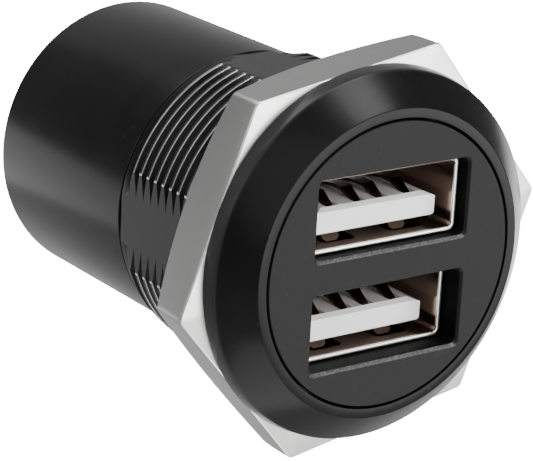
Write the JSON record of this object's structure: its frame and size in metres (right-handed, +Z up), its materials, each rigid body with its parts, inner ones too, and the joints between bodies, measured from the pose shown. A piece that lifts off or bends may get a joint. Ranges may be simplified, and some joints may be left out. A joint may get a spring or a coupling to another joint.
{
  "type": "dual usb panel socket",
  "caption": "Round panel socket with stacked charging ports in a flanged black metal barrel, clamped by a satin hex nut on its thread, with a smooth rear sleeve and supply blades.",
  "frame": {"origin": "on the barrel's axis, in the flange's rear face where the panel seats", "axes": "+Y along the barrel into the panel, towards the supply blades; +Z up, towards the upper port; the front faces -Y"},
  "size_m": [0.032, 0.0437, 0.0302],
  "materials": {
    "body_black": "black anodised, satin",
    "insert_black": "moulded, fine matt texture",
    "nut_satin": "plated, satin",
    "sleeve_black": "black anodised, smooth satin",
    "cap_black": "moulded, matt",
    "shell_nickel": "bright nickel on folded sheet",
    "tongue_white": "moulded, white",
    "contact_gold": "thin gold on spring strip",
    "board_green": "green solder mask on glass laminate",
    "ferrite": "sintered ferrite",
    "copper_wire": "enamelled copper wire",
    "capacitor_can": "sleeved can",
    "chip_black": "moulded epoxy",
    "blade_tinned": "tinned brass"
  },
  "bodies": {
    "root": {"body": "body_black", "faceplate": "insert_black", "hex_nut": "nut_satin", "rear_sleeve": "sleeve_black", "rear_cap": "cap_black", "upper_shell": "shell_nickel", "lower_shell": "shell_nickel", "upper_insulator": "tongue_white", "lower_insulator": "tongue_white", "upper_contact_1": "contact_gold", "upper_contact_2": "contact_gold", "upper_contact_3": "contact_gold", "upper_contact_4": "contact_gold", "lower_contact_1": "contact_gold", "lower_contact_2": "contact_gold", "lower_contact_3": "contact_gold", "lower_contact_4": "contact_gold", "port_board": "board_green", "converter_board": "board_green", "inductor_core": "ferrite", "inductor_winding": "copper_wire", "output_capacitor": "capacitor_can", "input_capacitor": "capacitor_can", "controller_chip": "chip_black", "rectifier": "chip_black", "positive_blade": "blade_tinned", "negative_blade": "blade_tinned"}
  },
  "joints": []
}
